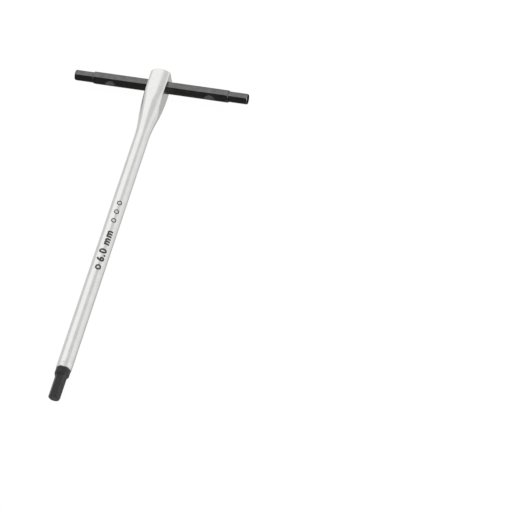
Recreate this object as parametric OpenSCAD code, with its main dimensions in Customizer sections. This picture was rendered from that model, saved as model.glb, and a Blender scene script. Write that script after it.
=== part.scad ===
// Sliding T-handle hex key with three male hexagon ends.
// X runs along the cross bar, Y along the shank from the drive tip to the head, Z is up.
// The origin is the centre of the drive tip's end face. The key lies flat.

/* [Key] */
// Length from the drive tip's end face to the top of the head
overall_l = 228; // [180:1:280]
// Width across flats of each of the three hexagon ends
tip_af = 6; // [5.5:0.05:6.2]

/* [Shank] */
// Diameter of the long plain shank
shank_d = 8.8; // [8.6:0.1:10]
// Diameter of the turned flare where it runs into the head
head_d = 16.6; // [15.6:0.1:17.6]
// Thickness of the head over the crowns of its two broad faces
head_t = 15.2; // [14.6:0.1:15.6]
// Radius that rounds each broad face of the head across its width
face_r = 11; // [9:0.5:14]
// Width of the head across its two side flats
head_flat_w = 11.8; // [11:0.1:13]
// Distance from the cross bar's axis down to the start of the flare
head_straight_l = 3; // [2:0.5:8]
// Length of the flare that narrows the head to the shank
flare_l = 36.5; // [30:0.5:40]
// Distance from the cross bar's axis up to the top of the head
head_top_l = 8.2; // [7.5:0.1:11]
// Radius that rounds the top edge of the head
head_round_r = 1.9; // [1:0.1:2.2]

/* [Drive tip] */
// Length of the hexagon of the drive tip
tip_hex_l = 13.5; // [10:0.1:18]
// Length of the cone between the hexagon and the round collar
cone_l = 1.6; // [1:0.1:3]
// Length of the round collar behind the cone
collar_l = 3.5; // [2.5:0.1:6]
// Diameter of the round collar
collar_d = 8.3; // [8:0.1:8.6]
// Length of the chamfer on each hexagon end
tip_chamfer_l = 0.6; // [0.3:0.1:1]
// Diameter of the pin that locks the drive tip in the shank
pin_d = 1.8; // [1.5:0.1:2.2]

/* [Cross bar] */
// Total length of the sliding cross bar
bar_l = 108; // [90:1:130]
// Width across flats of the bar's middle stretch
bar_af = 7; // [6.5:0.1:7.5]
// Length of the smaller hexagon at each end of the bar
bar_tip_l = 11.7; // [9:0.1:14]
// Distance from the bar's middle to each detent notch
notch_x = 31; // [26:0.5:36]
// Depth of each detent notch in the edge of the bar
notch_depth = 1.2; // [0.8:0.1:1.6]
// How far the bar stands off centre in the head
bar_shift = 1.6; // [-8:0.1:8]

/* [Detent] */
// Diameter of the detent ball
ball_d = 4.5; // [4:0.1:4.8]
// Diameter of the bore that holds the ball, the spring and the plug
detent_bore_d = 4.6; // [4.6:0.1:5.2]
// Wire diameter of the detent spring
wire_d = 0.6; // [0.5:0.05:0.7]
// Number of turns of the detent spring
spring_turns = 8; // [6:1:10]

/* [Hidden] */

fn_round = 96;
fn_small = 48;
eps = 0.01;
// A hexagon's corner radius for one millimetre across flats
corner_per_af = 1 / sqrt(3);

head_r = head_d / 2;
shank_r = shank_d / 2;
bar_y = overall_l - head_top_l;
tip_l = tip_hex_l + cone_l + collar_l;
flare_top_y = bar_y - head_straight_l;
flare_steps = 24;

// The spigot of the drive tip sits in a blind bore in the shank's lower end
spigot_d = 5.5;
spigot_l = 12;
spigot_bore_l = spigot_l + 0.5;
pin_y = tip_l + 1.9;

// Radiused run-outs where a cutter formed the six flats
runout_r = 3;
runout_setback = 1;

bar_gap = 0.06;
bar_corner_r = bar_af * corner_per_af;
bar_step_l = 0.8;

ball_gap = 0.03;
ball_y = bar_y - bar_corner_r - ball_gap - ball_d / 2;
// A notch is the groove of a round cutter that is wider than the ball
notch_r = 5.8;

coil_r = 1.75;
spring_seat_y = bar_y - 24;
// How far the ball can be pressed down into its bore
ball_travel = 0.5;
// The top coil would touch the lower half of the ball at this depth under its centre
spring_contact = sqrt(pow(ball_d / 2 + wire_d / 2, 2) - pow(coil_r, 2));
spring_top_y = ball_y - spring_contact - ball_travel - ball_gap;
spring_bottom_y = spring_seat_y + wire_d / 2 + eps;
closed_pitch = wire_d + 0.02;
open_pitch = (spring_top_y - spring_bottom_y - 2 * closed_pitch) / (spring_turns - 2);
steps_per_turn = 18;
wire_sides = 8;

plug_l = 3.2;
plug_top_y = overall_l - 0.15;

// Turns a shape that was drawn along Z so that it stands along Y from the height y
module along_y(y) {
    translate([0, y, 0])
        rotate([-90, 0, 0])
            children();
}

// A hexagonal prism from z = 0 up, with two flats facing the drawing's Y direction
module hex_prism(across, length) {
    cylinder(r = across * corner_per_af, h = length, $fn = 6);
}

// A cone that cuts a chamfer on the corners of a hexagon, open toward z = 0
module chamfer_envelope(across, length, chamfer) {
    corner_r = across * corner_per_af;
    rotate_extrude($fn = fn_round)
        polygon([
            [0, 0],
            [corner_r - chamfer, 0],
            [corner_r + eps, chamfer + eps],
            [corner_r + eps, length],
            [0, length]
        ]);
}

// Radius of the flare at the fraction t of its length, from the head to the shank
function flare_r(t) = shank_r + (head_r - shank_r) * (1 + cos(180 * t)) / 2;

// Outline of the shank's turned body as points of radius and height
function shank_outline() = concat(
    [[0, tip_l], [shank_r - 0.3, tip_l], [shank_r, tip_l + 0.3]],
    [for (i = [flare_steps:-1:0]) [flare_r(i / flare_steps), flare_top_y - flare_l * i / flare_steps]],
    [for (a = [0:15:90]) [
        head_r - head_round_r * (1 - cos(a)),
        overall_l - head_round_r * (1 - sin(a))
    ]],
    [[0, overall_l]]
);

module shank_body() {
    along_y(0)
        rotate_extrude($fn = fn_round)
            polygon(shank_outline());
}

// Round bar whose top or bottom is one broad face of the head
module face_cylinder(side) {
    translate([0, 0, side * (head_t / 2 - face_r)])
        along_y(tip_l - 1)
            cylinder(r = face_r, h = overall_l - tip_l + 2, $fn = fn_round);
}

// Room outside each side flat of the head
module side_flat_cut(side) {
    cut_l = head_top_l + head_straight_l + flare_l;
    translate([side > 0 ? head_flat_w / 2 : -head_flat_w / 2 - head_r, overall_l - cut_l, -head_r])
        cube([head_r, cut_l + 1, head_d]);
}

// Hexagonal window along X that guides the cross bar
module bar_window() {
    translate([-head_r, bar_y, 0])
        rotate([0, 90, 0])
            rotate([0, 0, 90])
                hex_prism(bar_af + 2 * bar_gap, head_d);
}

module shank() {
    color("silver")
        difference() {
            intersection() {
                shank_body();
                face_cylinder(1);
                face_cylinder(-1);
            }
            side_flat_cut(1);
            side_flat_cut(-1);
            bar_window();
            along_y(spring_seat_y)
                cylinder(d = detent_bore_d, h = overall_l - spring_seat_y + 1, $fn = fn_small);
            along_y(tip_l - 1)
                cylinder(d = spigot_d, h = spigot_bore_l + 1, $fn = fn_small);
            translate([0, pin_y, -shank_d])
                cylinder(d = pin_d, h = 2 * shank_d, $fn = fn_small);
        }
}

// Round collar of the drive tip with the cone that leads down to the hexagon's corners
module collar() {
    corner_r = tip_af * corner_per_af;
    along_y(0)
        rotate_extrude($fn = fn_round)
            polygon([
                [0, tip_hex_l],
                [corner_r, tip_hex_l],
                [collar_d / 2, tip_hex_l + cone_l],
                [collar_d / 2, tip_l],
                [0, tip_l]
            ]);
}

// Hexagon of the drive tip with a chamfered end and a cutter run-out on each flat
module drive_tip() {
    color("dimgray")
        difference() {
            union() {
                along_y(0)
                    intersection() {
                        hex_prism(tip_af, tip_hex_l);
                        chamfer_envelope(tip_af, tip_hex_l, tip_chamfer_l);
                    }
                collar();
                along_y(tip_l - eps)
                    cylinder(d = spigot_d, h = spigot_l + eps, $fn = fn_small);
            }
            for (side = [0:5])
                along_y(0)
                    rotate([0, 0, 60 * side])
                        runout_groove();
            translate([0, pin_y, -shank_d])
                cylinder(d = pin_d, h = 2 * shank_d, $fn = fn_small);
        }
}

// Round-bottomed groove that carries one flat of the hexagon into the collar
module runout_groove() {
    translate([-tip_af, tip_af / 2 + runout_r, tip_hex_l - runout_setback])
        rotate([0, 90, 0])
            cylinder(r = runout_r, h = 2 * tip_af, $fn = fn_small);
}

module tip_pin() {
    pin_half_l = sqrt(pow(shank_r, 2) - pow(pin_d / 2, 2));
    color("gainsboro")
        translate([0, pin_y, -pin_half_l])
            cylinder(d = pin_d, h = 2 * pin_half_l, $fn = fn_small);
}

// Cross bar centred on x = 0 of its own length, with two flats facing up and down
module bar_body() {
    half_mid = bar_l / 2 - bar_tip_l;
    rotate([0, 90, 0])
        rotate([0, 0, 90]) {
            translate([0, 0, -half_mid])
                hex_prism(bar_af, 2 * half_mid);
            for (flip = [0, 1])
                mirror([0, 0, flip])
                    translate([0, 0, half_mid - eps])
                        hex_prism(tip_af, bar_tip_l + eps);
        }
}

// Turned envelope that chamfers both ends and both steps of the cross bar
module bar_envelope() {
    half_l = bar_l / 2;
    half_mid = half_l - bar_tip_l;
    tip_r = tip_af * corner_per_af;
    mid_r = bar_corner_r + eps;
    rotate([0, 90, 0])
        rotate_extrude($fn = fn_round)
            polygon([
                [0, -half_l],
                [tip_r - tip_chamfer_l, -half_l],
                [tip_r + eps, tip_chamfer_l - half_l],
                [tip_r + eps, -half_mid],
                [mid_r, bar_step_l - half_mid],
                [mid_r, half_mid - bar_step_l],
                [tip_r + eps, half_mid],
                [tip_r + eps, half_l - tip_chamfer_l],
                [tip_r - tip_chamfer_l, half_l],
                [0, half_l]
            ]);
}

module slide_bar() {
    color("dimgray")
        translate([bar_shift, bar_y, 0])
            difference() {
                intersection() {
                    bar_body();
                    bar_envelope();
                }
                for (side = [-1, 1])
                    translate([side * notch_x, notch_depth - bar_corner_r - notch_r, -bar_af])
                        cylinder(r = notch_r, h = 2 * bar_af, $fn = fn_round);
            }
}

module detent_ball() {
    color("lightgray")
        translate([0, ball_y, 0])
            sphere(d = ball_d, $fn = fn_small);
}

// Height of the coil's centre line after a number of turns, with one closed turn at each end
function coil_y(turns) =
    turns < 1 ? spring_bottom_y + closed_pitch * turns
    : turns > spring_turns - 1 ? spring_top_y - closed_pitch * (spring_turns - turns)
    : spring_bottom_y + closed_pitch + open_pitch * (turns - 1);

// One point on the wire's surface, after a number of turns and at the angle a round the wire
function wire_point(turns, a) =
    let (r = coil_r + wire_d / 2 * cos(a))
    [r * cos(360 * turns), coil_y(turns) + wire_d / 2 * sin(a), r * sin(360 * turns)];

module detent_spring() {
    rings = spring_turns * steps_per_turn;
    points = [
        for (i = [0:rings])
            for (j = [0:wire_sides - 1])
                wire_point(i / steps_per_turn, 360 * j / wire_sides)
    ];
    walls = [
        for (i = [0:rings - 1])
            for (j = [0:wire_sides - 1])
                let (k = (j + 1) % wire_sides)
                [
                    i * wire_sides + j,
                    i * wire_sides + k,
                    (i + 1) * wire_sides + k,
                    (i + 1) * wire_sides + j
                ]
    ];
    start_cap = [for (j = [wire_sides - 1:-1:0]) j];
    end_cap = [for (j = [0:wire_sides - 1]) rings * wire_sides + j];
    color("lightgray")
        polyhedron(points, concat(walls, [start_cap, end_cap]));
}

// Plug pressed into the top of the detent bore
module head_plug() {
    color("silver")
        along_y(plug_top_y - plug_l)
            cylinder(d = detent_bore_d, h = plug_l, $fn = fn_small);
}

shank();
drive_tip();
tip_pin();
slide_bar();
detent_ball();
detent_spring();
head_plug();
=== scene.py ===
import math

import bmesh
import bpy
import numpy as np
from mathutils import Matrix, Vector


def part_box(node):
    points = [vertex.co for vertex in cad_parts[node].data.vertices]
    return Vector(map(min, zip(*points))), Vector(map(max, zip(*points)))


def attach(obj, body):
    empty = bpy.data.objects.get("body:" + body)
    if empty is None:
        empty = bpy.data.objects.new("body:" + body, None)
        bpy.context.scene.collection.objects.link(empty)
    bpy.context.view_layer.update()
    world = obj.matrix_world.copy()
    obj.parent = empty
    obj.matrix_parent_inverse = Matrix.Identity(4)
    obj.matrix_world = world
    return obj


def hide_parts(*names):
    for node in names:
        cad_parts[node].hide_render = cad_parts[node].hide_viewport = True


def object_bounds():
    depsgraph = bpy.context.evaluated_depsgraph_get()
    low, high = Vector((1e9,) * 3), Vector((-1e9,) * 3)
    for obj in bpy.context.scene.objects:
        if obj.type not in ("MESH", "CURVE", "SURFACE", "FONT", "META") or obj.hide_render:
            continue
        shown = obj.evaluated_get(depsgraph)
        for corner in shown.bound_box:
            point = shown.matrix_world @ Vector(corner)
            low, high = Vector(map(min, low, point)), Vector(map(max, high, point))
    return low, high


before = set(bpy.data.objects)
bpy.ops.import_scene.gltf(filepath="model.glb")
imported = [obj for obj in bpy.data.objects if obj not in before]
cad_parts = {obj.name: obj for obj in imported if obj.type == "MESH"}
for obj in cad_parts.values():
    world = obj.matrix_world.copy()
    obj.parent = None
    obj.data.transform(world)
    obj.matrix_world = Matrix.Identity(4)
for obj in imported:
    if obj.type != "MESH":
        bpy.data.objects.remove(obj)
cad_low, cad_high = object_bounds()

MM = 0.001

# ---------------------------------------------------------------- sizes from the CAD frame
shank_low, shank_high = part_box("shank")
tip_low, tip_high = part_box("drive_tip")
bar_low, bar_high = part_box("slide_bar")
ball_low, ball_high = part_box("detent_ball")
spring_low, spring_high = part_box("detent_spring")
pin_low, pin_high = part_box("tip_pin")

HEAD_CROWN = shank_high.z
HEAD_HALF_FLAT = shank_high.x
SHANK_END_Y = shank_low.y
HEAD_TOP_Y = shank_high.y
TIP_END_Y = tip_low.y
SPIGOT_END_Y = tip_high.y
COLLAR_R = tip_high.z
BAR_Y = (bar_low.y + bar_high.y) / 2
BAR_MIDDLE_X = (bar_low.x + bar_high.x) / 2
BAR_HALF_L = (bar_high.x - bar_low.x) / 2
BAR_HALF_AF = bar_high.z
PIN_Y = (pin_low.y + pin_high.y) / 2
PIN_R = (pin_high.x - pin_low.x) / 2

# ---------------------------------------------------------------- sizes of the real pieces
SHANK_R = 4.4 * MM
HEAD_R = 8.3 * MM
FACE_R = 11 * MM
FLARE_START = 3 * MM
FLARE_L = 36.5 * MM
HEAD_ROUND = 1.9 * MM
FACE_ROUND = 0.5 * MM
SHANK_CHAMFER = 0.3 * MM
TIP_HALF_AF = 3.0 * MM
TIP_HEX_L = 13.5 * MM
CONE_L = 1.6 * MM
SPIGOT_R = 2.75 * MM
RUNOUT_R = 3.0 * MM
RUNOUT_SETBACK = 1.0 * MM
END_CHAMFER = 0.6 * MM
BAR_TIP_L = 11.7 * MM
BAR_STEP_L = 0.8 * MM
NOTCH_X = 31 * MM
NOTCH_DEPTH = 1.2 * MM
NOTCH_CUTTER_R = 5.8 * MM
WINDOW_GAP = 0.06 * MM
WINDOW_CHAMFER = 0.3 * MM
BORE_R = 2.3 * MM
BORE_CHAMFER = 0.2 * MM
# Stands for no limit: a metre is farther out than any piece reaches
NO_LIMIT = 1.0

# The higher, the tighter the radius on the edges
MACHINED_EDGE = 220
FORGED_EDGE = 60


# ---------------------------------------------------------------- mesh building
def span(start, end, step):
    """Evenly spaced places from start to end, about a step apart, both ends included."""
    count = max(1, round(abs(end - start) / step))
    return [start + (end - start) * i / count for i in range(count + 1)]


def joined(*runs):
    """The runs one after another, without the place that two of them share."""
    places = []
    for run in runs:
        places += [p for p in run if not places or abs(p - places[-1]) > 1e-7]
    return places


def flat(distance, angles, facing):
    """How far out a flat at this distance lets each angle reach."""
    reach = np.cos(angles - facing)
    return np.where(reach > 0.02, distance / np.maximum(reach, 0.02), NO_LIMIT)


def broad_face(crown, angles, facing):
    """How far out the head's rounded face lets each angle reach, with its crown this far out."""
    drop = FACE_R - crown
    turned = angles - facing
    return np.sqrt(FACE_R**2 - (drop * np.sin(turned)) ** 2) - drop * np.cos(turned)


def hexagon(half_af, angles):
    """The six flats of a hexagon with one flat facing up."""
    return [flat(half_af, angles, math.radians(60 * i)) for i in range(6)]


def soft_least(limits, sharpness=MACHINED_EDGE):
    """The least of the limits at each angle, with a small radius where two of them cross."""
    stack = np.stack([np.broadcast_to(v, limits[-1].shape) for v in limits])
    least = stack.min(axis=0)
    return least * ((stack / least) ** -sharpness).sum(axis=0) ** (-1 / sharpness)


def new_object(name, mesh):
    obj = bpy.data.objects.new(name, mesh)
    bpy.context.scene.collection.objects.link(obj)
    return obj


def swept(name, along, centre, rings, sides):
    """A closed solid from rings of (place, radius at each angle), along X or Y. Angle 0 is up."""
    angles = np.arange(sides) * (2 * math.pi / sides)
    bm = bmesh.new()

    def ring(place, radius):
        side, up = radius * np.sin(angles), radius * np.cos(angles)
        if along == "Y":
            points = zip(centre[0] + side, [place] * sides, centre[2] + up)
        else:
            points = zip([place] * sides, centre[1] + side, centre[2] + up)
        return [bm.verts.new(p) for p in points]

    def cap(place, radius):
        inner = [ring(place, radius * share) for share in (0.7, 0.4, 0.12)]
        middle = (centre[0], place, centre[2]) if along == "Y" else (place, centre[1], centre[2])
        return inner, bm.verts.new(middle)

    first_inner, first_middle = cap(*rings[0])
    loops = first_inner[::-1] + [ring(p, r) for p, r in rings]
    last_inner, last_middle = cap(*rings[-1])
    loops += last_inner
    for a, b in zip(loops, loops[1:]):
        for i in range(sides):
            k = (i + 1) % sides
            bm.faces.new((a[i], a[k], b[k], b[i]))
    for loop, middle in ((loops[0], first_middle), (loops[-1], last_middle)):
        for i in range(sides):
            bm.faces.new((loop[i], loop[(i + 1) % sides], middle))
    bmesh.ops.recalc_face_normals(bm, faces=bm.faces)
    mesh = bpy.data.meshes.new(name)
    bm.to_mesh(mesh)
    bm.free()
    return new_object(name, mesh)


def cut(obj, cutters):
    """Takes the cutters away from the object and removes them from the scene."""
    for cutter in cutters:
        modifier = obj.modifiers.new("cut", "BOOLEAN")
        modifier.operation = "DIFFERENCE"
        modifier.solver = "EXACT"
        modifier.object = cutter
        bpy.context.view_layer.update()
        evaluated = obj.evaluated_get(bpy.context.evaluated_depsgraph_get())
        result = bpy.data.meshes.new_from_object(evaluated)
        obj.modifiers.clear()
        obj.data = result
        bpy.data.objects.remove(cutter)


def smooth(obj, angle=32):
    for polygon in obj.data.polygons:
        polygon.use_smooth = True
    obj.data.set_sharp_from_angle(angle=math.radians(angle))


def circle_rings(pairs, sides):
    return [(place, np.full(sides, radius)) for place, radius in pairs]


# ---------------------------------------------------------------- shank
SHANK_SIDES = 240


def flare_radius(y):
    """Radius of the turned outside of the shank and its head."""
    t = (BAR_Y - FLARE_START - y) / FLARE_L
    t = min(max(t, 0), 1)
    return SHANK_R + (HEAD_R - SHANK_R) * (1 + math.cos(math.pi * t)) / 2


def rounded_off(y, radius):
    """How much the rounding of the head's top edge takes away at the height y."""
    over = y - (HEAD_TOP_Y - radius)
    return radius - math.sqrt(max(radius**2 - over**2, 0)) if over > 0 else 0


def shank_ring(y, angles):
    radius = flare_radius(y) - rounded_off(y, HEAD_ROUND)
    radius -= max(0, SHANK_CHAMFER - (y - SHANK_END_Y))
    taken = rounded_off(y, FACE_ROUND)
    limits = [flat(HEAD_HALF_FLAT - taken, angles, side * math.pi / 2) for side in (1, -1)]
    limits += [broad_face(HEAD_CROWN - taken, angles, facing) for facing in (0, math.pi)]
    return soft_least(limits + [np.full(angles.shape, radius)], FORGED_EDGE)


def bar_window():
    """Cutter for the hexagonal window, with a chamfered mouth on both sides."""
    sides = 96
    angles = np.arange(sides) * (2 * math.pi / sides)
    half = BAR_HALF_AF + WINDOW_GAP
    mouth = HEAD_HALF_FLAT - WINDOW_CHAMFER
    outer = HEAD_HALF_FLAT + 2 * MM
    rings = []
    for x in (-outer, -mouth, mouth, outer):
        reach = half + max(0, abs(x) - mouth)
        rings.append((x, soft_least(hexagon(reach, angles))))
    return swept("window_cutter", "X", (0, BAR_Y, 0), rings, sides)


def bore_cutter(name, low, high, radius, mouth):
    """Cutter for a round bore along Y whose mouth is at the place given."""
    inward = 1 if abs(high - mouth) > abs(low - mouth) else -1
    edge = mouth + inward * BORE_CHAMFER
    outside = low if inward > 0 else high
    inside = high if inward > 0 else low
    pairs = [
        (inside, radius),
        (edge, radius),
        (outside, radius + abs(outside - edge)),
    ]
    return swept(name, "Y", (0, 0, 0), circle_rings(sorted(pairs), 96), 96)


def pin_cutter():
    """Cutter for the cross pin's hole, drawn along Y and then stood up along Z."""
    sides = 48
    reach = SHANK_R + 1 * MM
    mouth = math.sqrt(SHANK_R**2 - PIN_R**2) - 0.12 * MM
    pairs = [(-reach, PIN_R + reach - mouth), (-mouth, PIN_R), (mouth, PIN_R), (reach, PIN_R + reach - mouth)]
    obj = swept("pin_cutter", "Y", (0, 0, 0), circle_rings(pairs, sides), sides)
    obj.data.transform(Matrix.Translation((0, PIN_Y, 0)) @ Matrix.Rotation(math.pi / 2, 4, "X"))
    return obj


def make_shank():
    angles = np.arange(SHANK_SIDES) * (2 * math.pi / SHANK_SIDES)
    flare_top = BAR_Y - FLARE_START
    flare_end = flare_top - FLARE_L
    rounding = [HEAD_TOP_Y - HEAD_ROUND * (1 - math.sin(a)) for a in span(0, math.pi / 2, 0.1)]
    stations = joined(
        span(SHANK_END_Y, SHANK_END_Y + SHANK_CHAMFER, 0.1 * MM),
        span(SHANK_END_Y + SHANK_CHAMFER, SHANK_END_Y + 5 * MM, 0.5 * MM),
        span(SHANK_END_Y + 5 * MM, flare_end, 3 * MM),
        span(flare_end, flare_top, 0.5 * MM),
        span(flare_top, HEAD_TOP_Y - HEAD_ROUND, 0.6 * MM),
        rounding,
    )
    rings = [(y, shank_ring(y, angles)) for y in stations]
    obj = swept("shank_forging", "Y", (0, 0, 0), rings, SHANK_SIDES)
    cut(obj, [
        bar_window(),
        bore_cutter("detent_cutter", spring_low.y, HEAD_TOP_Y + 1 * MM, BORE_R, HEAD_TOP_Y),
        bore_cutter("spigot_cutter", SHANK_END_Y - 1 * MM, SPIGOT_END_Y + 0.5 * MM, SPIGOT_R, SHANK_END_Y),
        pin_cutter(),
    ])
    smooth(obj)
    return obj


# ---------------------------------------------------------------- drive tip
TIP_SIDES = 240


def corner(half_af):
    return half_af / math.cos(math.radians(30))


def end_chamfer(inset, half_af):
    """Radius of the chamfer cone at this distance in from a hexagon's end."""
    return corner(half_af) - END_CHAMFER + inset if inset < END_CHAMFER else NO_LIMIT


def tip_ring(y, angles):
    place = y - TIP_END_Y
    runout = place - (TIP_HEX_L - RUNOUT_SETBACK)
    lift = 0
    if runout > 0:
        lift = RUNOUT_R - math.sqrt(max(RUNOUT_R**2 - runout**2, 0))
    cone = (place - TIP_HEX_L) / CONE_L
    turned = corner(TIP_HALF_AF) + (COLLAR_R - corner(TIP_HALF_AF)) * min(max(cone, 0), 1)
    turned = min(turned, end_chamfer(place, TIP_HALF_AF))
    flats = hexagon(TIP_HALF_AF + lift, angles) if runout < RUNOUT_R else []
    return soft_least(flats + [np.full(angles.shape, turned)])


def make_drive_tip():
    angles = np.arange(TIP_SIDES) * (2 * math.pi / TIP_SIDES)
    collar_y = TIP_END_Y + TIP_HEX_L + CONE_L
    runout_y = TIP_END_Y + TIP_HEX_L - RUNOUT_SETBACK
    stations = joined(
        span(TIP_END_Y, TIP_END_Y + END_CHAMFER, 0.1 * MM),
        span(TIP_END_Y + END_CHAMFER, runout_y, 0.8 * MM),
        span(runout_y, collar_y + 0.5 * MM, 0.08 * MM),
        span(collar_y + 0.5 * MM, SHANK_END_Y, 0.5 * MM),
    )
    rings = [(y, tip_ring(y, angles)) for y in stations]
    rim = 0.15 * MM
    rings[-1] = (SHANK_END_Y - rim, rings[-1][1])
    rings += [(SHANK_END_Y, rings[-1][1] - rim)]
    spigot = [SHANK_END_Y, SPIGOT_END_Y - 0.4 * MM, SPIGOT_END_Y]
    rings += circle_rings(zip(spigot, [SPIGOT_R, SPIGOT_R, SPIGOT_R - 0.4 * MM]), TIP_SIDES)
    obj = swept("drive_tip_hexagon", "Y", (0, 0, 0), rings, TIP_SIDES)
    smooth(obj)
    return obj


# ---------------------------------------------------------------- cross bar
BAR_SIDES = 240


def bar_ring(x, angles, half_af, turned):
    """Section of the bar at x from its middle: six flats, the turned chamfers and the notch."""
    limits = hexagon(half_af, angles)
    for notch in (-NOTCH_X, NOTCH_X):
        off = abs(x - notch)
        if off < NOTCH_CUTTER_R:
            floor = corner(BAR_HALF_AF) - NOTCH_DEPTH + NOTCH_CUTTER_R
            floor -= math.sqrt(NOTCH_CUTTER_R**2 - off**2)
            if floor < corner(BAR_HALF_AF) + 0.5 * MM:
                limits.append(flat(floor, angles, -math.pi / 2))
    return soft_least(limits + [np.full(angles.shape, turned)])


def half_bar_rings(angles):
    """Rings from the middle of the bar out to one end, as (place, radii)."""
    mid = BAR_HALF_L - BAR_TIP_L
    rings = []
    for x in joined(
        span(0, NOTCH_X - 5 * MM, 2.6 * MM),
        span(NOTCH_X - 5 * MM, NOTCH_X + 5 * MM, 0.14 * MM),
        span(NOTCH_X + 5 * MM, mid - BAR_STEP_L, 1 * MM),
    ):
        rings.append((x, bar_ring(x, angles, BAR_HALF_AF, NO_LIMIT)))
    for x in span(mid - BAR_STEP_L, mid, 0.1 * MM)[1:]:
        share = (mid - x) / BAR_STEP_L
        turned = corner(TIP_HALF_AF) + (corner(BAR_HALF_AF) - corner(TIP_HALF_AF)) * share
        rings.append((x, bar_ring(x, angles, BAR_HALF_AF, turned)))
    for x in joined(
        [mid + 0.01 * MM],
        span(mid + 0.3 * MM, BAR_HALF_L - END_CHAMFER, 1 * MM),
        span(BAR_HALF_L - END_CHAMFER, BAR_HALF_L, 0.1 * MM),
    ):
        rings.append((x, bar_ring(x, angles, TIP_HALF_AF, end_chamfer(BAR_HALF_L - x, TIP_HALF_AF))))
    return rings


def make_cross_bar():
    angles = np.arange(BAR_SIDES) * (2 * math.pi / BAR_SIDES)
    half = half_bar_rings(angles)
    rings = [(BAR_MIDDLE_X - x, r) for x, r in half[:0:-1]] + [(BAR_MIDDLE_X + x, r) for x, r in half]
    obj = swept("cross_bar_hexagon", "X", (0, BAR_Y, 0), rings, BAR_SIDES)
    smooth(obj)
    return obj


# ---------------------------------------------------------------- detent spring and cross pin
def make_spring():
    """Round wire wound on a helix, with one closed turn at each end."""
    turns, steps, sides = 8, 40, 16
    wire = 0.3 * MM
    coil = (spring_high.x - spring_low.x) / 2 - wire
    low, high = spring_low.y + wire, spring_high.y - wire
    closed = 2 * wire + 0.02 * MM
    pitch = (high - low - 2 * closed) / (turns - 2)

    def height(t):
        if t < 1:
            return low + closed * t
        if t > turns - 1:
            return high - closed * (turns - t)
        return low + closed + pitch * (t - 1)

    bm = bmesh.new()
    loops = []
    for i in range(turns * steps + 1):
        t = i / steps
        a = 2 * math.pi * t
        ring = []
        for j in range(sides):
            b = 2 * math.pi * j / sides
            r = coil + wire * math.cos(b)
            ring.append(bm.verts.new((r * math.cos(a), height(t) + wire * math.sin(b), r * math.sin(a))))
        loops.append(ring)
    for a, b in zip(loops, loops[1:]):
        for j in range(sides):
            k = (j + 1) % sides
            bm.faces.new((a[j], a[k], b[k], b[j]))
    bm.faces.new(loops[0])
    bm.faces.new(loops[-1])
    bmesh.ops.recalc_face_normals(bm, faces=bm.faces)
    mesh = bpy.data.meshes.new("detent_spring_coil")
    bm.to_mesh(mesh)
    bm.free()
    obj = new_object("detent_spring_coil", mesh)
    smooth(obj, 50)
    return obj


def make_pin():
    """Cross pin whose domed ends are ground flush with the round shank."""
    sides = 48
    half = pin_high.z
    dome = 0.1 * MM
    body = half - dome
    pairs = [(-half, PIN_R * 0.5), (-half + 0.3 * dome, PIN_R * 0.8), (-body, PIN_R)]
    pairs += [(-p, r) for p, r in pairs[::-1]]
    obj = swept("tip_pin_domed", "Y", (0, 0, 0), circle_rings(pairs, sides), sides)
    obj.data.transform(Matrix.Translation((0, PIN_Y, 0)) @ Matrix.Rotation(math.pi / 2, 4, "X"))
    smooth(obj)
    return obj


# ---------------------------------------------------------------- printed size mark
MARK_START_Y = 83 * MM
MARK_H = 4.0 * MM
MARK_ANGLE = math.radians(18)
INK = 0.012 * MM


def wrapped(name, mesh):
    """Lays a flat drawing (x along the shank, y up the letters) round the shank as a thin film."""
    bm = bmesh.new()
    bm.from_mesh(mesh)
    step = 0.25 * MM
    for i in range(-12, 13):
        bmesh.ops.bisect_plane(
            bm,
            geom=bm.verts[:] + bm.edges[:] + bm.faces[:],
            plane_co=(0, i * step, 0),
            plane_no=(0, 1, 0),
            dist=1e-7,
        )
    for v in bm.verts:
        angle = MARK_ANGLE - v.co.y / SHANK_R
        radius = SHANK_R + v.co.z
        v.co = Vector((radius * math.sin(angle), MARK_START_Y + v.co.x, radius * math.cos(angle)))
    bmesh.ops.recalc_face_normals(bm, faces=bm.faces)
    out = bpy.data.meshes.new(name)
    bm.to_mesh(out)
    bm.free()
    return new_object(name, out)


def prism(bm, points):
    """A thin closed plate with the outline given, both faces and the rim."""
    low = [bm.verts.new((x, y, -INK)) for x, y in points]
    high = [bm.verts.new((x, y, INK)) for x, y in points]
    bm.faces.new(low[::-1])
    bm.faces.new(high)
    for i in range(len(points)):
        k = (i + 1) % len(points)
        bm.faces.new((low[i], low[k], high[k], high[i]))


def hexagon_ring(bm, x, outer, inner):
    """A hexagonal frame of six plates."""
    def at(radius, i):
        a = math.radians(60 * i)
        return (x + radius * math.cos(a), radius * math.sin(a))

    for i in range(6):
        prism(bm, [at(outer, i), at(outer, i + 1), at(inner, i + 1), at(inner, i)])


def text_mesh(words, size, start, weight):
    """The words as a flat solid, from the given place along the mark, centred across it."""
    curve = bpy.data.curves.new("size_text", "FONT")
    curve.body = words
    curve.size = size
    curve.extrude = INK
    curve.offset = weight * size
    curve.space_character = 1.2
    curve.align_y = "CENTER"
    obj = new_object("size_text", curve)
    bpy.context.view_layer.update()
    mesh = bpy.data.meshes.new_from_object(obj.evaluated_get(bpy.context.evaluated_depsgraph_get()))
    mesh.transform(Matrix.Translation((start, 0, 0)))
    bpy.data.objects.remove(obj)
    return mesh


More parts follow.
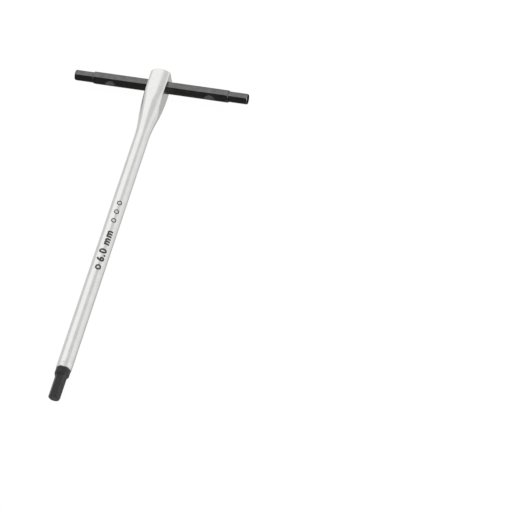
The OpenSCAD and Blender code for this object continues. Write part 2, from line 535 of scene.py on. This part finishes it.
def make_mark():
    """Generic size mark: a hexagon with the size across flats, then one hexagon for each end."""
    bm = bmesh.new()
    half = MARK_H / 2
    hexagon_ring(bm, half, half, 0.45 * half)
    bm.from_mesh(text_mesh("6.0 mm", 6.0 * MM, 6.0 * MM, 0.05))
    for i in range(3):
        hexagon_ring(bm, (34.5 + 6.2 * i) * MM, 0.85 * half, 0.5 * half)
    mesh = bpy.data.meshes.new("mark_flat")
    bm.to_mesh(mesh)
    bm.free()
    return wrapped("size_mark", mesh)


# ---------------------------------------------------------------- materials
def new_material(name, base, metallic, roughness, glancing=1.0):
    mat = bpy.data.materials.new(name)
    mat.use_nodes = True
    shader = mat.node_tree.nodes["Principled BSDF"]
    shader.inputs["Base Color"].default_value = (*base, 1)
    shader.inputs["Metallic"].default_value = metallic
    shader.inputs["Roughness"].default_value = roughness
    shader.inputs["Specular Tint"].default_value = (glancing, glancing, glancing, 1)
    return mat, mat.node_tree, shader


def noise(tree, stretch, scale, detail):
    """Noise in the piece's own coordinates, stretched along X, Y and Z."""
    coords = tree.nodes.new("ShaderNodeTexCoord")
    mapping = tree.nodes.new("ShaderNodeMapping")
    mapping.inputs["Scale"].default_value = stretch
    tex = tree.nodes.new("ShaderNodeTexNoise")
    tex.inputs["Scale"].default_value = scale
    tex.inputs["Detail"].default_value = detail
    tree.links.new(coords.outputs["Object"], mapping.inputs["Vector"])
    tree.links.new(mapping.outputs["Vector"], tex.inputs["Vector"])
    return tex.outputs["Fac"]


def ramp(tree, source, low, high):
    """Maps 0.3 to 0.7 of the source on the values or colours low to high."""
    node = tree.nodes.new("ShaderNodeValToRGB")
    node.color_ramp.elements[0].position = 0.3
    node.color_ramp.elements[1].position = 0.7
    node.color_ramp.elements[0].color = (*low, 1) if isinstance(low, tuple) else (low, low, low, 1)
    node.color_ramp.elements[1].color = (*high, 1) if isinstance(high, tuple) else (high, high, high, 1)
    tree.links.new(source, node.inputs["Fac"])
    return node.outputs["Color"]


def blend_colour(tree, factor, a, b):
    node = tree.nodes.new("ShaderNodeMix")
    node.data_type = "RGBA"
    tree.links.new(factor, node.inputs["Factor"])
    for source, socket in ((a, "A"), (b, "B")):
        target = [s for s in node.inputs if s.name == socket and s.type == "RGBA"][0]
        if isinstance(source, tuple):
            target.default_value = (*source, 1)
        else:
            tree.links.new(source, target)
    return [s for s in node.outputs if s.type == "RGBA"][0]


def edge_mask(tree, low, high):
    """Near 1 on convex edges, from the mesh's own pointiness."""
    geometry = tree.nodes.new("ShaderNodeNewGeometry")
    node = tree.nodes.new("ShaderNodeMapRange")
    node.interpolation_type = "SMOOTHSTEP"
    node.inputs["From Min"].default_value = low
    node.inputs["From Max"].default_value = high
    tree.links.new(geometry.outputs["Pointiness"], node.inputs["Value"])
    return node.outputs["Result"]


def bump(tree, shader, parts):
    """Chains bumps of (height source, strength, distance in metres) into the shader."""
    previous = None
    for height, strength, distance in parts:
        node = tree.nodes.new("ShaderNodeBump")
        node.inputs["Strength"].default_value = strength
        node.inputs["Distance"].default_value = distance
        tree.links.new(height, node.inputs["Height"])
        if previous:
            tree.links.new(previous, node.inputs["Normal"])
        previous = node.outputs["Normal"]
    tree.links.new(previous, shader.inputs["Normal"])


def satin_chrome():
    mat, tree, shader = new_material("satin_chrome_plate", (0.79, 0.79, 0.785), 1.0, 0.24)
    clouds = noise(tree, (1, 1, 1), 260, 4)
    grain = noise(tree, (60, 2400, 60), 1, 3)
    pits = noise(tree, (1, 1, 1), 2600, 2)
    tint = ramp(tree, clouds, (0.765, 0.765, 0.752), (0.815, 0.815, 0.803))
    tree.links.new(tint, shader.inputs["Base Color"])
    tree.links.new(ramp(tree, clouds, 0.2, 0.28), shader.inputs["Roughness"])
    bump(tree, shader, [(clouds, 0.12, 0.0002), (grain, 0.1, 0.00004), (pits, 0.06, 0.00002)])
    return mat


def black_bar():
    mat, tree, shader = new_material("black_oxide_polished", (0.17, 0.17, 0.17), 1.0, 0.2, 0.15)
    clouds = noise(tree, (1, 1, 1), 300, 5)
    drawn = noise(tree, (40, 2200, 2200), 1, 3)
    tint = ramp(tree, clouds, (0.128, 0.126, 0.125), (0.176, 0.173, 0.171))
    worn = blend_colour(tree, edge_mask(tree, 0.53, 0.62), tint, (0.2, 0.197, 0.194))
    tree.links.new(worn, shader.inputs["Base Color"])
    tree.links.new(ramp(tree, drawn, 0.17, 0.26), shader.inputs["Roughness"])
    bump(tree, shader, [(clouds, 0.1, 0.00015), (drawn, 0.15, 0.00003)])
    return mat


def black_tip():
    mat, tree, shader = new_material("black_phosphate", (0.03, 0.03, 0.03), 0.0, 0.4)
    shader.inputs["Specular IOR Level"].default_value = 0.27
    clouds = noise(tree, (1, 1, 1), 700, 5)
    specks = noise(tree, (1, 1, 1), 5200, 3)
    tint = ramp(tree, clouds, (0.021, 0.021, 0.0205), (0.035, 0.0345, 0.034))
    worn = blend_colour(tree, edge_mask(tree, 0.53, 0.62), tint, (0.08, 0.079, 0.077))
    tree.links.new(worn, shader.inputs["Base Color"])
    tree.links.new(ramp(tree, clouds, 0.3, 0.4), shader.inputs["Roughness"])
    bump(tree, shader, [(clouds, 0.15, 0.0001), (specks, 0.2, 0.00002)])
    return mat


def bright_steel():
    mat, tree, shader = new_material("bright_ground_steel", (0.62, 0.62, 0.62), 1.0, 0.25)
    clouds = noise(tree, (1, 1, 1), 900, 4)
    grain = noise(tree, (3000, 200, 3000), 1, 3)
    tree.links.new(ramp(tree, clouds, (0.57, 0.57, 0.565), (0.67, 0.67, 0.665)), shader.inputs["Base Color"])
    tree.links.new(ramp(tree, grain, 0.2, 0.32), shader.inputs["Roughness"])
    bump(tree, shader, [(grain, 0.12, 0.00002)])
    return mat


def ink():
    mat, tree, shader = new_material("black_print", (0.01, 0.01, 0.01), 0.0, 0.5)
    wear = noise(tree, (1, 1, 1), 2500, 4)
    tree.links.new(ramp(tree, wear, (0.02, 0.02, 0.02), (0.065, 0.065, 0.064)), shader.inputs["Base Color"])
    tree.links.new(ramp(tree, wear, 0.4, 0.6), shader.inputs["Roughness"])
    bump(tree, shader, [(wear, 0.1, 0.00001)])
    return mat


def paint(obj, mat):
    """Puts the material in the object's every slot."""
    if not obj.material_slots:
        obj.data.materials.append(mat)
    for slot in obj.material_slots:
        slot.material = mat


# ---------------------------------------------------------------- the pieces
chrome = satin_chrome()
bar_black = black_bar()
tip_black = black_tip()
steel = bright_steel()
print_ink = ink()

PIECES = [
    # (maker, material, CAD node that it stands for, body, record slot)
    (make_shank, chrome, "shank", "key_body", "satin_chrome"),
    (make_drive_tip, tip_black, "drive_tip", "key_body", "black_steel"),
    (make_pin, chrome, "tip_pin", "key_body", "bright_steel"),
    (make_spring, steel, "detent_spring", "key_body", "bright_steel"),
    (make_cross_bar, bar_black, "slide_bar", "cross_bar", "black_steel"),
]
for maker, material, node, body, slot in PIECES:
    piece = maker()
    paint(piece, material)
    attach(piece, body)
    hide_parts(node)

mark = make_mark()
paint(mark, print_ink)
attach(mark, "key_body")

paint(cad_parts["detent_ball"], steel)
paint(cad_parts["head_plug"], chrome)


# ---------------------------------------------------------------- stage, light and camera
FLOOR_SIZE = 6.0
FLOOR_GAP = 0.02 * MM
FLOOR_GLOW = 0.97
# The key lies on its head and its collar, so the floor under it leans this much
FLOOR_LEAN = math.atan2(HEAD_CROWN - COLLAR_R, HEAD_TOP_Y - HEAD_ROUND - SHANK_END_Y)


def make_floor():
    mesh = bpy.data.meshes.new("floor")
    half = FLOOR_SIZE / 2
    corners = [(-half, -half, 0), (half, -half, 0), (half, half, 0), (-half, half, 0)]
    mesh.from_pydata(corners, [], [(0, 1, 2, 3)])
    floor = new_object("floor", mesh)
    floor.location = (0, HEAD_TOP_Y - HEAD_ROUND, -HEAD_CROWN - FLOOR_GAP)
    floor.rotation_euler = (-FLOOR_LEAN, 0, 0)
    # A light table: it shines under the key, neither mirrored in the chrome nor shading it
    floor.visible_glossy = False
    floor.visible_shadow = False
    mat, tree, shader = new_material("floor_paper", (0.05, 0.05, 0.05), 0.0, 1.0)
    shader.inputs["Specular IOR Level"].default_value = 0.0
    shader.inputs["Emission Color"].default_value = (1, 1, 1, 1)
    shader.inputs["Emission Strength"].default_value = FLOOR_GLOW
    paint(floor, mat)


def map_range(tree, source, low, high):
    node = tree.nodes.new("ShaderNodeMapRange")
    node.interpolation_type = "SMOOTHSTEP"
    node.inputs["From Min"].default_value = low
    node.inputs["From Max"].default_value = high
    tree.links.new(source, node.inputs["Value"])
    return node.outputs["Result"]


def multiply(tree, a, b):
    node = tree.nodes.new("ShaderNodeMath")
    node.operation = "MULTIPLY"
    tree.links.new(a, node.inputs[0])
    tree.links.new(b, node.inputs[1])
    return node.outputs["Value"]


ROOM_LIGHT = (0.72, 0.72, 0.72)
ROOM_BELOW = (0.36, 0.36, 0.36)
DARK_PANEL = (0.075, 0.075, 0.075)
# Along each axis, where the panel's soft edge begins and where it's fully dark
PANEL_EDGES = (
    ("Y", -0.1, -0.5),
    ("Z", -0.45, -0.15),
    ("Z", 0.5, 0.25),
    ("X", -0.9, -0.6),
    ("X", 0.75, 0.45),
)


def make_world():
    """A pale room, dimmer below, with a dark panel standing beyond the drive tip."""
    world = bpy.data.worlds.new("room")
    bpy.context.scene.world = world
    world.use_nodes = True
    tree = world.node_tree
    back = tree.nodes["Background"]
    coords = tree.nodes.new("ShaderNodeTexCoord")
    parts = tree.nodes.new("ShaderNodeSeparateXYZ")
    tree.links.new(coords.outputs["Generated"], parts.inputs["Vector"])
    below = map_range(tree, parts.outputs["Z"], -0.55, -0.95)
    walls = blend_colour(tree, below, ROOM_LIGHT, ROOM_BELOW)
    panel = None
    for side, outside, inside in PANEL_EDGES:
        edge = map_range(tree, parts.outputs[side], outside, inside)
        panel = multiply(tree, panel, edge) if panel else edge
    room = blend_colour(tree, panel, walls, DARK_PANEL)
    path = tree.nodes.new("ShaderNodeLightPath")
    seen = blend_colour(tree, path.outputs["Is Camera Ray"], room, (1.0, 1.0, 1.0))
    tree.links.new(seen, back.inputs["Color"])
    back.inputs["Strength"].default_value = 1.0


def soft_box(name, place, aim, size, radiance):
    """An even area light, its length along the shank, out of the camera's sight."""
    light = bpy.data.lights.new(name, "AREA")
    light.shape = "RECTANGLE"
    light.size, light.size_y = size
    light.energy = radiance * math.pi * size[0] * size[1]
    obj = bpy.data.objects.new(name, light)
    bpy.context.scene.collection.objects.link(obj)
    back = (place - aim).normalized()
    length = (Vector((0, 1, 0)) - back * back.y).normalized()
    turn = Matrix((length.cross(back), length, back)).transposed().to_4x4()
    obj.matrix_world = Matrix.Translation(place) @ turn
    obj.visible_camera = False
    return obj


# Each box by name, with its lean from straight up toward +X, its half spread and its radiance
SOFT_BOXES = [
    ("left_box", -32, 33, 0.37),
    ("right_box", 67, 20, 0.22),
    ("low_right_box", 108, 20, 0.12),
]
BOX_LENGTH = 1.6
# One more box stands at the right, nearer the drive tip, and lights the black tip's right flat
SIDE_BOX_PLACE = Vector((1.2, -0.3, 0.1))
SIDE_BOX_SIZE = (0.6, 1.2)
SIDE_BOX_RADIANCE = 2.0


def make_lights():
    middle = Vector((0, (cad_low.y + cad_high.y) / 2, 0))
    for name, lean, spread, radiance in SOFT_BOXES:
        across = math.radians(lean)
        place = middle + Vector((math.sin(across), 0.5, math.cos(across)))
        across_size = 2 * math.tan(math.radians(spread))
        soft_box(name, place, middle, (across_size, BOX_LENGTH), radiance)
    soft_box("side_box", middle + SIDE_BOX_PLACE, middle, SIDE_BOX_SIZE, SIDE_BOX_RADIANCE)


# Where the camera looks, from the middle of the object's box, and from which side
AIM = Vector((84.56 * MM, -2.21 * MM, 0.04 * MM))
AZIMUTH = math.radians(20.5)
ELEVATION = math.radians(55.9)
ROLL = math.radians(-8.25)
DISTANCE = 1.1447
LENS = 142.7


def make_camera():
    data = bpy.data.cameras.new("camera")
    data.lens = LENS
    data.sensor_width = 36
    data.clip_start, data.clip_end = 0.01, 20
    camera = bpy.data.objects.new("camera", data)
    bpy.context.scene.collection.objects.link(camera)
    back = Vector((
        math.sin(AZIMUTH) * math.cos(ELEVATION),
        -math.cos(AZIMUTH) * math.cos(ELEVATION),
        math.sin(ELEVATION),
    ))
    level = Vector((0, 0, 1)).cross(back).normalized()
    raised = back.cross(level)
    right = level * math.cos(ROLL) + raised * math.sin(ROLL)
    up = raised * math.cos(ROLL) - level * math.sin(ROLL)
    target = (cad_low + cad_high) / 2
    target.z = 0
    place = target + AIM + back * DISTANCE
    camera.matrix_world = Matrix((
        (right.x, up.x, back.x, place.x),
        (right.y, up.y, back.y, place.y),
        (right.z, up.z, back.z, place.z),
        (0, 0, 0, 1),
    ))
    bpy.context.scene.camera = camera


make_floor()
make_world()
make_lights()
make_camera()
bpy.context.scene.view_settings.view_transform = "Standard"
